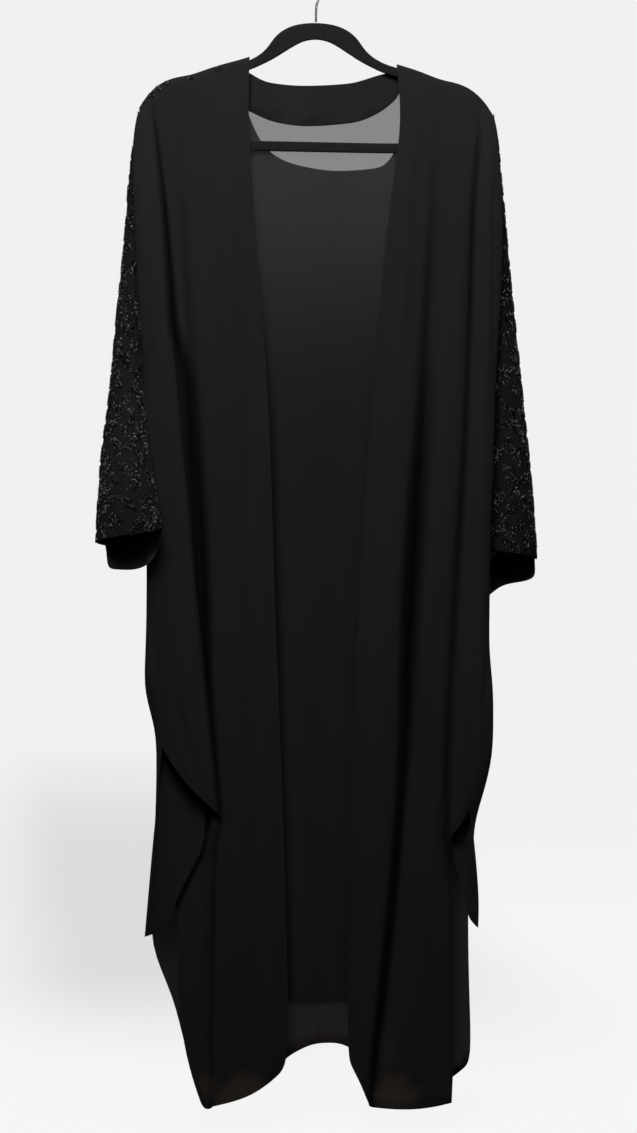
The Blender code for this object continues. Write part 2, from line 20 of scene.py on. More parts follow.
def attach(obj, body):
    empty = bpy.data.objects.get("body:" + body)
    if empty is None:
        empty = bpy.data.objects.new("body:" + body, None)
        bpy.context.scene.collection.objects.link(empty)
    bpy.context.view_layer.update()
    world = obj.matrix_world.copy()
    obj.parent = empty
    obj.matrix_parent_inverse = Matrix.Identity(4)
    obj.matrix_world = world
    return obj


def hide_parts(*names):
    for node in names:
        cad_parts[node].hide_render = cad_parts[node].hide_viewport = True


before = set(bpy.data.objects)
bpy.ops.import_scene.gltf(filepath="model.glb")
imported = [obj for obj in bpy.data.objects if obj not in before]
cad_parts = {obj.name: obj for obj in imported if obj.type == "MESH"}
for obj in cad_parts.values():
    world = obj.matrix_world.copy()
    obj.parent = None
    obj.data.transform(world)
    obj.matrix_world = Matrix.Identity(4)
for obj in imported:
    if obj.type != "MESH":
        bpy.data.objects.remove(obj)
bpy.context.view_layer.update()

# %% [markdown]
# The camera stands straight in front of the cloak at half its height. The photograph is 637 by 1133 pixels,
# and one of its pixels is 1.4 mm at the cloth, which follows from a hanger 450 mm wide. A long lens a few
# metres away keeps the sides of the cloak as flat as they look there.

# %% Set up the camera
PIXEL = 0.0014
PHOTO_SIZE = (637, 1133)
MIDDLE_LINE = 316  # the pixel column of the hook
HOOK_TOP = -35  # the pixel row of the hook's inside top, above the picture
CAMERA_AWAY = 3.6
SEES_TO = 30  # metres, past the far wall of the sweep
SENSOR = 36.0


def at_pixel(column, row):
    """X and Z of a pixel of the photograph, on the plane of the hanger."""
    return (column - MIDDLE_LINE) * PIXEL, -(row - HOOK_TOP) * PIXEL


camera = bpy.data.objects.new("camera", bpy.data.cameras.new("camera"))
bpy.context.scene.collection.objects.link(camera)
centre_x, centre_z = at_pixel(PHOTO_SIZE[0] / 2, PHOTO_SIZE[1] / 2)
camera.location = (centre_x, -CAMERA_AWAY, centre_z)
camera.rotation_euler = (math.radians(90), 0, 0)
camera.data.sensor_width = SENSOR
camera.data.lens = SENSOR * CAMERA_AWAY / (PHOTO_SIZE[1] * PIXEL)
camera.data.clip_end = SEES_TO
bpy.context.scene.camera = camera
bpy.context.scene.view_settings.view_transform = "Standard"
print("lens", round(camera.data.lens, 1), "mm")

# %% [markdown]
# Materials are written as sums. The small class below wraps a socket, so that a mask can be multiplied or
# added like a number, and each operation becomes one Math node. Everything else goes through one method
# that makes a node from its type, its settings and its inputs.

# %% A helper for writing materials as expressions


class Wire:
    """A socket that takes part in arithmetic."""

    def __init__(self, paint, socket):
        self.paint, self.socket = paint, socket

    def _maths(self, operation, first, second):
        return self.paint.add("ShaderNodeMath", {"operation": operation}, {0: first, 1: second})

    def __add__(self, other):
        return self._maths("ADD", self, other)

    def __mul__(self, other):
        return self._maths("MULTIPLY", self, other)

    def __sub__(self, other):
        return self._maths("SUBTRACT", self, other)

    def __rsub__(self, other):
        return self._maths("SUBTRACT", other, self)

    __radd__ = __add__
    __rmul__ = __mul__


class Paint:
    """A material with its Principled shader."""

    def __init__(self, name, **constants):
        self.material = bpy.data.materials.new(name)
        self.material.use_nodes = True
        self.nodes = self.material.node_tree.nodes
        self.links = self.material.node_tree.links
        self.shader = self.nodes["Principled BSDF"]
        for socket, value in constants.items():
            self.shader.inputs[socket.replace("_", " ")].default_value = value

    def add(self, kind, settings=None, inputs=None, output=0):
        """Makes a node: its settings first, then the values or links of its inputs."""
        node = self.nodes.new(kind)
        for name, value in (settings or {}).items():
            if name == "stops":
                ramp = node.color_ramp
                for index, (place, colour) in enumerate(value):
                    stop = ramp.elements[index] if index < 2 else ramp.elements.new(place)
                    stop.position, stop.color = place, colour
            else:
                setattr(node, name, value)
        for name, value in (inputs or {}).items():
            self.feed(node.inputs[name], value)
        return Wire(self, node.outputs[output])

    def feed(self, socket, value):
        if isinstance(value, Wire):
            self.links.new(value.socket, socket)
        else:
            socket.default_value = value

    def place(self, axis=None):
        """Object coordinates, or one axis of them."""
        where = self.add("ShaderNodeTexCoord", output="Object")
        if axis is None:
            return where
        return self.add("ShaderNodeSeparateXYZ", inputs={0: where}, output=axis)

    def noise(self, scale, detail=3.0, stretch=(1, 1, 1)):
        where = self.add("ShaderNodeMapping", inputs={"Vector": self.place(), "Scale": stretch})
        return self.add("ShaderNodeTexNoise", inputs={"Vector": where, "Scale": scale, "Detail": detail})

    def threads(self, scale, axis):
        return self.add(
            "ShaderNodeTexWave",
            {"bands_direction": axis},
            {"Vector": self.place(), "Scale": scale, "Distortion": 2.5, "Detail": 2.0, "Detail Scale": 2.0},
            output="Fac",
        )

    def between(self, value, low, high, to_low=0.0, to_high=1.0):
        """A value that goes from to_low to to_high as the input goes from low to high, softly."""
        return self.add(
            "ShaderNodeMapRange",
            {"interpolation_type": "SMOOTHSTEP"},
            {"Value": value, "From Min": low, "From Max": high, "To Min": to_low, "To Max": to_high},
        )

    def blend(self, share, first, second):
        node = self.nodes.new("ShaderNodeMix")
        node.data_type = "RGBA"
        for socket, value in ((node.inputs[0], share), (node.inputs[6], first), (node.inputs[7], second)):
            self.feed(socket, value)
        return Wire(self, node.outputs[2])

    def mark(self, name):
        """A number stored on the mesh's points."""
        return self.add("ShaderNodeAttribute", {"attribute_name": name}, output="Fac")

    def finish(self, colour=None, roughness=None, alpha=None, height=None, depth=0.0004):
        for socket, value in (("Base Color", colour), ("Roughness", roughness), ("Alpha", alpha)):
            if value is not None:
                self.feed(self.shader.inputs[socket], value)
        if height is not None:
            bump = self.add("ShaderNodeBump", inputs={"Height": height, "Distance": depth, "Strength": 0.8})
            self.feed(self.shader.inputs["Normal"], bump)
        return self.material


# %% [markdown]
# Georgette is woven from hard-twisted threads, so its face is a fine dry pebble with a little sheen, and
# one layer lets some light through. The cloth is dyed black, but it looks brown where light comes through
# it, and that brown is painted light in its colour; the deep folds get painted shade. Alpha makes it sheer.
# A wall of cloth has two faces, and light has to pass both, so each face is given the square root of what
# one layer lets through.

# %% The georgette of the fronts, back and wings
GRAIN = 900.0
THREAD = 620.0
DYED_BLACK = 0.0165
# the sleeves are the same black cloth, darkened as painted shade under their beads
SLEEVE_BLACK_IN_PAINTED_SHADE = 0.0105  # darker, under the beads
PEBBLE_DEPTH = 0.00035
SHEER_TOP, SHEER_LOW = -0.30, -0.80  # the heights between which the back grows less sheer


def georgette(name, shade, warmth=1.0, see_through=None, hem_shade=0.55, **constants):
    """Black georgette. see_through is (top height, low height, share at the top, share below)."""
    paint = Paint(name, Sheen_Weight=0.02, Sheen_Roughness=0.5, Specular_IOR_Level=0.05, **constants)
    cloudy = paint.noise(9.0, 4.0, (1, 1, 0.35))
    pebble = paint.noise(GRAIN, 2.0)
    weave = paint.threads(THREAD, "X") * paint.threads(THREAD, "Z")
    dark = (shade * 0.72, shade * 0.66, shade * 0.68, 1)
    light = (shade * 1.2 * warmth, shade * 1.12, shade * 1.16, 1)
    colour = paint.blend(cloudy * 0.7 + pebble * 0.3, dark, light)
    hem = paint.mark("hem")
    colour = paint.blend(hem * hem_shade, colour, (shade * 0.3, shade * 0.28, shade * 0.3, 1))
    # painted light: a warm brown where light comes through the cloth
    colour = paint.blend(paint.mark("painted_backlight"), colour, (shade * 3.4, shade * 2.5, shade * 1.8, 1))
    # painted shade: near black where the cloth lies deep in folds
    colour = paint.blend(paint.mark("painted_fold_shade"), colour, (0.0001, 0.0001, 0.0002, 1))
    roughness = 0.62 + pebble * 0.22
    alpha = None
    if see_through:
        high, low, share_high, share_low = see_through
        passes = paint.between(paint.place("Z"), low, high, share_low**0.5, share_high**0.5)
        alpha = 1.0 - passes * (0.9 + pebble * 0.2) * (1.0 - hem * 0.85)
    height = pebble * 0.6 + weave * 0.4 + paint.mark("stitch") * 0.8
    return paint.finish(colour, roughness, alpha, height, PEBBLE_DEPTH)


front_cloth = georgette("front georgette", DYED_BLACK, hem_shade=0.4)
wing_cloth = georgette("wing georgette", DYED_BLACK, hem_shade=0.25)
back_cloth = georgette("back georgette", DYED_BLACK, 1.15, (SHEER_TOP, SHEER_LOW, 0.27, 0.006))
under_cloth = georgette(
    "second layer georgette", DYED_BLACK, 1.2, (SHEER_TOP, SHEER_LOW - 0.15, 0.07, 0.003), hem_shade=0.1
)
facing_cloth = georgette("facing georgette", DYED_BLACK)
sleeve_cloth = georgette("sleeve georgette", SLEEVE_BLACK_IN_PAINTED_SHADE)
for finish in (front_cloth, wing_cloth, back_cloth, under_cloth, facing_cloth, sleeve_cloth):
    print(finish.name, "has", len(finish.node_tree.nodes), "nodes")

# %% [markdown]
# The inside of each sleeve is satin, which is smooth and throws back a long soft glint. The hanger is
# flocked: tiny upright fibres that are darkest face on and pale at the edges, which a strong sheen gives.
# The hook is plated wire.

# %% Satin, velvet and steel


def satin():
    paint = Paint("black satin", Specular_IOR_Level=0.6, Sheen_Weight=0.1)
    drift_and_sheen = paint.noise(26.0, 3.0, (1, 1, 0.4))
    # random tone, and partly painted sheen: its lighter patches stand for the satin's soft glint
    colour = paint.blend(drift_and_sheen, (0.002, 0.002, 0.002, 1), (0.022, 0.019, 0.018, 1))
    return paint.finish(colour, 0.24 + drift_and_sheen * 0.16, None, paint.threads(700.0, "X") * 0.5 + drift_and_sheen, 0.0005)


def velvet():
    paint = Paint("hanger velvet", Sheen_Weight=0.2, Sheen_Roughness=0.5, Specular_IOR_Level=0.1)
    fibres = paint.noise(2200.0, 2.0)
    rubbed = paint.noise(38.0, 4.0)
    colour = paint.blend(fibres * 0.5 + rubbed * 0.5, (0.006, 0.005, 0.005, 1), (0.015, 0.013, 0.013, 1))
    return paint.finish(colour, 0.85 + fibres * 0.12, None, fibres, 0.0004)


def plated_wire():
    paint = Paint("plated wire", Metallic=1.0)
    drawn = paint.noise(240.0, 3.0, (1, 1, 0.1))
    colour = paint.blend(drawn, (0.52, 0.52, 0.53, 1), (0.70, 0.70, 0.70, 1))
    return paint.finish(colour, 0.18 + drawn * 0.14, None, drawn, 0.00005)


satin_finish, velvet_finish, wire_finish = satin(), velvet(), plated_wire()
print("other finishes:", satin_finish.name, velvet_finish.name, wire_finish.name, sep=", ")

# %% [markdown]
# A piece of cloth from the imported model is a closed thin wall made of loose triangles. The copy is merged
# and its triangles are paired back into quads. The sharp edges round the rim are creased, so that
# subdivision smooths the folds but keeps the outline.

# %% A helper that turns a solid of the frame into a smooth shell
RIM_ANGLE = math.radians(50)  # an edge that turns more than this is on the rim of the wall
SAME_POINT = 0.00002
QUAD_BEND, QUAD_SHAPE = math.radians(35), math.radians(75)


def merged(node):
    """The node's mesh with its doubles merged and its triangles paired into quads."""
    bm = bmesh.new()
    bm.from_mesh(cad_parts[node].data)
    bmesh.ops.remove_doubles(bm, verts=bm.verts, dist=SAME_POINT)
    bmesh.ops.join_triangles(
        bm, faces=bm.faces, angle_face_threshold=QUAD_BEND, angle_shape_threshold=QUAD_SHAPE
    )
    return bm


def new_piece(name, mesh, finish):
    piece = bpy.data.objects.new(name, mesh)
    bpy.context.scene.collection.objects.link(piece)
    for face in mesh.polygons:
        face.use_smooth = True
    mesh.materials.clear()
    mesh.materials.append(finish)
    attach(piece, "root")
    return piece


def smoothed(node, name, finish, levels=2):
    """A smooth copy of a node that stands for it."""
    bm = merged(node)
    rim = bm.edges.layers.float.new("crease_edge")
    for edge in bm.edges:
        if len(edge.link_faces) == 2 and edge.calc_face_angle(0.0) > RIM_ANGLE:
            edge[rim] = 1.0
    rough = bpy.data.meshes.new(name + "_rough")
    bm.to_mesh(rough)
    bm.free()
    holder = bpy.data.objects.new(name + "_rough", rough)
    bpy.context.scene.collection.objects.link(holder)
    finer = holder.modifiers.new("finer", "SUBSURF")
    finer.levels = finer.render_levels = levels
    view = bpy.context.evaluated_depsgraph_get()
    mesh = bpy.data.meshes.new_from_object(holder.evaluated_get(view))
    bpy.data.objects.remove(holder)
    mesh.name = name
    piece = new_piece(name, mesh, finish)
    bm = bmesh.new()
    bm.from_mesh(mesh)
    for edge in bm.edges:
        edge.smooth = edge.calc_face_angle(0.0) < RIM_ANGLE
    bm.to_mesh(mesh)
    bm.free()
    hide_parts(node)
    return piece


print("a rim edge turns more than", round(math.degrees(RIM_ANGLE)), "degrees")

# %% [markdown]
# The small folds are pressed in, each along its own line in the photograph's pixels. A fold fades
# out across its width and towards both of its ends, by the same soft curve.

# %% Helpers that move cloth
Crease = namedtuple("Crease", "x_top row_top x_low row_low width rise")
END_FADE = 4  # a crease reaches its full depth a quarter of the way in from each end
MILLIMETRE = 0.001


def eased(share):
    """A share from 0 to 1 that starts and ends softly."""
    return share**2 * (3 - 2 * share)


def points_of(piece):
    places = np.empty(len(piece.data.vertices) * 3)
    piece.data.vertices.foreach_get("co", places)
    return places.reshape(-1, 3)


def put_back(piece, places):
    piece.data.vertices.foreach_set("co", places.ravel())
    piece.data.update()


def press(piece, creases):
    """Moves cloth to or from the viewer along lines given in photograph pixels. A rise is in millimetres."""
    places = points_of(piece)
    for crease in creases:
        x0, z0 = at_pixel(crease.x_top, crease.row_top)
        x1, z1 = at_pixel(crease.x_low, crease.row_low)
        along = np.array([x1 - x0, z1 - z0])
        length = np.hypot(*along)
        away = places[:, [0, 2]] - (x0, z0)
        share = away @ along / length**2
        across = np.abs(away @ np.array([-along[1], along[0]])) / length / (crease.width * PIXEL)
        ends = np.clip(np.minimum(share, 1 - share) * END_FADE, 0, 1)
        soft = np.clip(1 - across, 0, 1)
        places[:, 1] -= crease.rise * MILLIMETRE * eased(soft) * eased(ends)
    put_back(piece, places)


def push(piece, column, row, reach, rise, sideways):
    """Moves cloth sideways round a pixel, by millimetres, fading out over reach columns and rise rows."""
    places = points_of(piece)
    x, z = at_pixel(column, row)
    far = np.hypot((places[:, 0] - x) / (reach * PIXEL), (places[:, 2] - z) / (rise * PIXEL))
    places[:, 0] += sideways * MILLIMETRE * eased(np.clip(1 - far, 0, 1))
    put_back(piece, places)


print("a crease is given by", ", ".join(Crease._fields))

# %% [markdown]
# Four numbers are stored on the points of each piece for its material: how much painted shade the deep
# folds put on the point, how much painted light stands for light coming through there, how near it is to
# the turned hem, and how near to the hem's stitches.

# %% Helpers that mark cloth
FOLD_SHADE_FADE = 30  # rows past the end of a fold
FRONT_HEM, BACK_HEM, NARROW_HEM = 0.011, 0.009, 0.004
HEM_EDGE = 0.003
STITCH_WIDTH = 0.0012
FACES_DOWN = -0.6  # the normal's Z on a rim that looks down


def store(piece, name, values):
    mark = piece.data.attributes.new(name, "FLOAT", "POINT")
    mark.data.foreach_set("value", values)


def mark_painted_fold_shade(piece, folds):
    """Stores painted shade at points that lie deep in folds. Each is a run of (column, row, half width,
    strength).
    """
    places = points_of(piece)
    rows = -places[:, 2] / PIXEL + HOOK_TOP
    columns = places[:, 0] / PIXEL + MIDDLE_LINE
    painted_shade = np.zeros(len(places))
    for painted_fold_shade in folds:
        run = np.array(painted_fold_shade, dtype=float)
        middle, half, depth = (np.interp(rows, run[:, 1], run[:, k]) for k in (0, 2, 3))
        past = np.maximum(run[0, 1] - rows, rows - run[-1, 1])
        ends = np.clip(1 - past / FOLD_SHADE_FADE, 0, 1)
        near = np.clip(1 - np.abs(columns - middle) / half, 0, 1)
        painted_shade = np.maximum(painted_shade, depth * ends * near**1.5 * (2.5 - 1.5 * near))
    store(piece, "painted_fold_shade", painted_shade)


def mark_painted_backlight(piece, patches):
    """Stores painted light where light comes through, as (column, row, half width, half height, strength)."""
    places = points_of(piece)
    painted_light = np.zeros(len(places))
    for column, row, half_width, half_height, strength in patches:
        x, z = at_pixel(column, row)
        far = np.hypot((places[:, 0] - x) / (half_width * PIXEL), (places[:, 2] - z) / (half_height * PIXEL))
        painted_light = np.maximum(painted_light, strength * eased(np.clip((1.15 - far) / 0.45, 0, 1)))
    store(piece, "painted_backlight", painted_light)


def mark_hem(piece, width=FRONT_HEM):
    """Stores how near each point is to the lower edge, and where the stitches of the hem run."""
    places = points_of(piece)
    low, high = places[:, 2].min(), places[:, 2].max()
    edge = {
        point
        for face in piece.data.polygons
        if face.normal.z < FACES_DOWN and face.center.z < low + 0.5 * (high - low)
        for point in face.vertices
    }
    tree = KDTree(len(edge))
    for point in edge:
        tree.insert(places[point], point)
    tree.balance()
    above = np.array([tree.find(place)[2] for place in places])
    store(piece, "hem", np.clip((width - above) / HEM_EDGE, 0, 1))
    store(piece, "stitch", np.exp(-(((above - width * 0.8) / STITCH_WIDTH) ** 2)))


def tell_area(piece):
    """Prints half of the wall's surface, which is the area of cloth in it."""
    area = sum(face.area for face in piece.data.polygons) / 2
    print(piece.name, "has", round(area, 3), "square metres of cloth")


print("hems are", FRONT_HEM, BACK_HEM, "and", NARROW_HEM, "m wide")


# %% [markdown]
# The two fronts hang from the shoulder seams. Their creases are long and shallow, because georgette is limp
# and its own weight pulls it straight. Only near the left shoulder do a few short creases fan out from the
# neck.

# %% The painted shade of the deep folds, in photograph pixels
# Each row is the middle column, the row, half the width and how dark the painted shade gets
LEFT_FOLD_SHADE = (
    (151, 101, 4, 0.0), (157, 137, 4, 0.5), (166, 221, 5, 0.8), (174, 328, 8, 0.85), (188, 380, 14, 0.9),
    (194, 451, 14, 1.0), (200, 522, 13, 1.0), (204, 592, 12, 1.0), (208, 663, 8, 0.95), (214, 735, 6, 0.8),
    (221, 815, 5, 0.7), (215, 850, 4, 0.6), (213, 960, 4, 0.5), (212, 1071, 4, 0.3),
)
RIGHT_FOLD_SHADE = (
    (430, 330, 8, 0.0), (426, 400, 13, 0.55), (419, 474, 15, 0.8), (415, 540, 15, 0.95), (411, 592, 15, 1.0),
    (408, 663, 13, 0.95), (405, 740, 11, 0.9), (400, 800, 9, 0.85), (394, 869, 8, 0.85), (387, 938, 8, 0.85),
    (379, 1008, 7, 0.8), (372, 1063, 6, 0.6),
)
RIGHT_LINE_SHADE = (
    (480, 116, 3, 0.0), (477, 154, 4, 0.6), (472, 221, 4, 0.7), (469, 330, 4, 0.6), (464, 451, 5, 0.6),
    (457, 560, 6, 0.6), (451, 665, 6, 0.6), (447, 750, 6, 0.6), (446, 836, 5, 0.6), (451, 900, 4, 0.5),
    (452, 1070, 4, 0.3),
)

print("dark folds:", len(LEFT_FOLD_SHADE), len(RIGHT_FOLD_SHADE), "and", len(RIGHT_LINE_SHADE), "rows")

# %% Fronts
front_left = smoothed("front_panel_left", "front_left_cloth", front_cloth)
press(
    front_left,
    [
        Crease(248, 70, 232, 116, 5, 1.4),
        Crease(254, 72, 246, 118, 4, -1.2),
        Crease(242, 66, 214, 104, 5, -1.2),
        Crease(236, 64, 200, 96, 5, 1.0),
        Crease(226, 120, 240, 560, 13, 2.2),
        Crease(204, 150, 222, 480, 10, -2.0),
        Crease(244, 300, 262, 1040, 10, -2.4),
        Crease(232, 520, 244, 1080, 12, 2.6),
        Crease(222, 700, 226, 1098, 8, -1.8),
        Crease(266, 820, 276, 1066, 8, 1.8),
        Crease(194, 860, 196, 1080, 7, 1.6),
    ],
)
front_right = smoothed("front_panel_right", "front_right_cloth", front_cloth)
press(
    front_right,
    [
        Crease(408, 110, 392, 500, 10, 2.0),
        Crease(424, 96, 410, 380, 10, -1.8),
        Crease(446, 96, 440, 420, 9, 1.8),
        Crease(382, 420, 372, 980, 9, -2.2),
        Crease(366, 620, 358, 1050, 8, 1.8),
        Crease(442, 520, 424, 900, 9, -1.8),
        Crease(430, 820, 420, 1090, 10, 2.2),
        Crease(408, 900, 398, 1092, 8, -1.8),
        Crease(444, 880, 440, 1088, 6, 1.4),
    ],
)
# painted shade along the deep folds, and painted light where light comes through near the hem
mark_painted_fold_shade(front_left, [LEFT_FOLD_SHADE])
mark_painted_fold_shade(front_right, [RIGHT_FOLD_SHADE, RIGHT_LINE_SHADE])
mark_painted_backlight(front_left, [(208, 1082, 9, 14, 0.5), (247, 1090, 24, 18, 0.6), (234, 1098, 22, 12, 0.7)])
mark_painted_backlight(front_right, [(394, 1094, 26, 15, 0.7), (386, 1050, 9, 26, 0.12)])
for piece in (front_left, front_right):
    mark_hem(piece)
    tell_area(piece)

# %% [markdown]
# The back shows through the neck and the front opening, and its whole width shows from behind. The second
# layer in front of it has a scooped top, and the facing closes the neck with a firm double edge.

# %% Back, second layer and facing
back = smoothed("back_panel", "back_cloth", back_cloth)
press(
    back,
    [
        Crease(200, 120, 214, 640, 12, 2.2),
        Crease(236, 160, 240, 900, 14, -2.4),
        Crease(286, 180, 282, 760, 12, -1.6),
        Crease(352, 200, 346, 980, 13, -2.2),
        Crease(398, 130, 386, 620, 12, 2.0),
        Crease(436, 150, 420, 820, 11, -2.4),
        Crease(190, 700, 196, 1080, 10, -2.0),
        Crease(262, 640, 268, 1080, 12, 2.0),
        Crease(404, 660, 398, 1088, 12, 2.2),
        Crease(448, 600, 442, 1060, 9, -1.8),
    ],
)
under = smoothed("back_underlayer", "second_layer_cloth", under_cloth)
press(
    under,
    [
        Crease(296, 210, 300, 960, 12, 1.2),
        Crease(330, 240, 326, 900, 10, 1.0),
        Crease(352, 260, 340, 980, 9, 0.8),
    ],
)
facing = smoothed("neck_facing", "neck_facing_cloth", facing_cloth)
# painted light where light comes through the back near the hem
mark_painted_backlight(back, [(318, 1040, 44, 34, 0.22)])
for piece in (back, under, facing):
    mark_hem(piece, NARROW_HEM if piece is facing else BACK_HEM)
    tell_area(piece)

# %% [markdown]
# Each side wing is one folded leaf. It narrows to the shoulder, opens into a soft roll, and ends in a
# slanting hem whose inner corner hangs lowest. The longer leaf behind it shows below that hem.

# %% Side wings
wing_left = smoothed("side_wing_left", "wing_left_cloth", wing_cloth)
press(
    wing_left,
    [
        Crease(150, 150, 162, 420, 7, 1.6),
        Crease(158, 330, 176, 640, 9, -2.0),
        Crease(168, 560, 196, 770, 9, 2.2),
        Crease(152, 600, 166, 740, 7, -2.0),
        Crease(146, 660, 160, 700, 6, 2.0),
        Crease(176, 690, 206, 806, 7, -1.8),
        Crease(160, 770, 164, 900, 7, 2.0),
    ],
)
wing_right = smoothed("side_wing_right", "wing_right_cloth", wing_cloth)
press(
    wing_right,
    [
        Crease(488, 130, 486, 420, 6, 1.6),
        Crease(480, 300, 474, 620, 8, -1.8),
        Crease(482, 560, 478, 760, 7, 1.8),
        Crease(488, 650, 480, 716, 6, -2.0),
        Crease(466, 640, 460, 812, 7, 1.8),
        Crease(448, 832, 464, 838, 3, -2.4),
        Crease(470, 820, 472, 900, 6, 1.6),
    ],
)
push(wing_left, 146, 412, 14, 60, -2.6)
# painted shade along the wings' deep folds
mark_painted_fold_shade(wing_left, [LEFT_FOLD_SHADE])
mark_painted_fold_shade(wing_right, [RIGHT_LINE_SHADE])
for piece in (wing_left, wing_right):
    mark_hem(piece)
    tell_area(piece)

# %% [markdown]
# The sleeves are flattened tubes. They crumple a little at the elbow, and the cuffs stand open with the
# satin inside hanging below the beaded edge.

# %% Sleeves and their linings
sleeve_left = smoothed("sleeve_left", "sleeve_left_cloth", sleeve_cloth)
press(
    sleeve_left,
    [
        Crease(104, 400, 140, 440, 6, -1.8),
        Crease(110, 430, 150, 452, 6, 1.6),
        Crease(106, 470, 146, 486, 6, -1.4),
        Crease(120, 260, 124, 400, 6, 1.2),
        Crease(118, 480, 124, 540, 8, 1.4),
    ],
)
sleeve_right = smoothed("sleeve_right", "sleeve_right_cloth", sleeve_cloth)
press(
    sleeve_right,
    [
        Crease(526, 400, 496, 436, 6, -1.8),
        Crease(528, 440, 500, 458, 6, 1.6),
        Crease(530, 480, 504, 500, 6, -1.2),
        Crease(514, 280, 518, 400, 6, 1.2),
        Crease(516, 490, 520, 550, 8, 1.2),
    ],
)
lining_left = smoothed("sleeve_lining_left", "lining_left_satin", satin_finish)
press(lining_left, [Crease(118, 550, 128, 568, 5, 2.0), Crease(134, 548, 140, 566, 5, -2.0)])
lining_right = smoothed("sleeve_lining_right", "lining_right_satin", satin_finish)
press(lining_right, [Crease(508, 560, 528, 582, 6, 2.2), Crease(520, 566, 536, 572, 4, -2.0)])
for piece in (sleeve_left, sleeve_right):
    mark_hem(piece, NARROW_HEM)
for piece in (sleeve_left, sleeve_right, lining_left, lining_right):
    tell_area(piece)

# %% [markdown]
# The sleeves are beaded all over with small jet beads, sewn close together into leaves and joined by thin
# vines, with a few faceted sequins between them. All have the one jet finish. A bead is laid on the cloth
# by aiming at the sleeve from outside and placing it where the line of sight lands, so each leaf bends with
# the tube. The sprays here are a common leaf pattern in a layout of their own.

# %% Bead shapes and how they are laid on cloth
BEAD = 0.00120
BEAD_SIZES = (0.86, 1.12)
BEAD_SINK = 0.55  # how far a bead's middle is from the cloth, in radii
BEAD_STEP = 0.0028
VINE_STEP = 0.0031
JITTER = 0.0003
SEQUIN = 0.0016
SEQUIN_DEPTH = 0.0007
SEQUIN_LIFT = 0.0012
SEQUIN_LEAN = 0.30
TO_THE_LIGHT = Vector((0, -0.5, 0.65))  # loose sequins lean to the lamp
SIGHT = 0.4
random.seed(41)


class Beadwork:
    """Gathers beads leaf by leaf, so that each small batch is made quickly and then joined to the rest."""

    def __init__(self, surface, aim):
        self.tree = BVHTree.FromObject(surface, bpy.context.evaluated_depsgraph_get())
        self.aim = aim
        self.whole = bmesh.new()
        self.batch = bmesh.new()
        self.count = 0

    def land(self, across, down):
        """Place and outward direction of the cloth at a pattern position, or nothing where it misses."""
        start, direction = self.aim(across, down)
        place, normal, _, _ = self.tree.ray_cast(start, direction, SIGHT)
        if place is None:
            return None
        return place, -normal if normal.dot(direction) > 0 else normal

    def bead(self, across, down, radius=BEAD):
        found = self.land(across, down)
        if found is None:
            return
        place, normal = found
        radius *= random.uniform(*BEAD_SIZES)
        turn = normal.to_track_quat("Z", "Y").to_matrix().to_4x4()
        where = Matrix.Translation(place + normal * radius * BEAD_SINK) @ turn @ Matrix.Diagonal((1, 1, 0.8, 1))
        bmesh.ops.create_icosphere(self.batch, subdivisions=1, radius=radius, matrix=where)
        random.random()  # an unused draw, which keeps the layout of the beads as it is
        self.count += 1

    def sequin(self, across, down):
        found = self.land(across, down)
        if found is None:
            return
        place, normal = found
        lean = Vector([random.uniform(-SEQUIN_LEAN, SEQUIN_LEAN) for _ in range(3)])
        turn = (normal + lean + TO_THE_LIGHT).to_track_quat("Z", "Y").to_matrix().to_4x4()
        where = Matrix.Translation(place + normal * SEQUIN_LIFT) @ turn
        sizes = {"radius1": SEQUIN, "radius2": SEQUIN * 0.6, "depth": SEQUIN_DEPTH}
        bmesh.ops.create_cone(self.batch, cap_ends=True, segments=8, matrix=where, **sizes)
        self.count += 1

    def close_batch(self):
        mesh = bpy.data.meshes.new("batch")
        self.batch.to_mesh(mesh)
        self.whole.from_mesh(mesh)
        bpy.data.meshes.remove(mesh)
        self.batch.free()
        self.batch = bmesh.new()

    def leaf(self, across, down, lean, length, width):
        """A pointed leaf filled with beads in rows along its own axis."""
        rows = max(2, round(width / BEAD_STEP))
        for row in range(rows + 1):
            side = (row / rows - 0.5) * width
            reach = length / 2 * math.sqrt(max(0.0, 1 - (2 * side / (width * 1.12)) ** 2))
            steps = int(reach * 2 / BEAD_STEP)
            for step in range(steps + 1):
                along = -reach + step * BEAD_STEP + random.uniform(-JITTER, JITTER)
                offset = side + random.uniform(-JITTER, JITTER)
                self.bead(
                    across + along * math.cos(lean) - offset * math.sin(lean),
                    down + along * math.sin(lean) + offset * math.cos(lean),
                )
        self.close_batch()

    def vine(self, start, end, bow):
        """A fine curved line of small beads between two places."""
        along = Vector(end) - Vector(start)
        sideways = Vector((-along.y, along.x)).normalized() * bow
        steps = max(2, round(along.length / VINE_STEP))
        for k in range(steps + 1):
            t = k / steps
            place = Vector(start) + along * t + sideways * math.sin(math.pi * t)
            self.bead(place.x, place.y, BEAD * 0.7)
        self.close_batch()

    def piece(self, name):
        mesh = bpy.data.meshes.new(name)
        self.whole.to_mesh(mesh)
        self.whole.free()
        new_piece(name, mesh, jet_beads)
        print(name, "has", self.count, "beads in", len(mesh.polygons), "faces")


print("beads are", BEAD * 2, "m wide and", BEAD_STEP, "m apart")

# %% [markdown]
# The beads and sequins are cut glass. Patches of a noise about as coarse as one bead set how much light
# each throws back, from almost none to about a fifth.

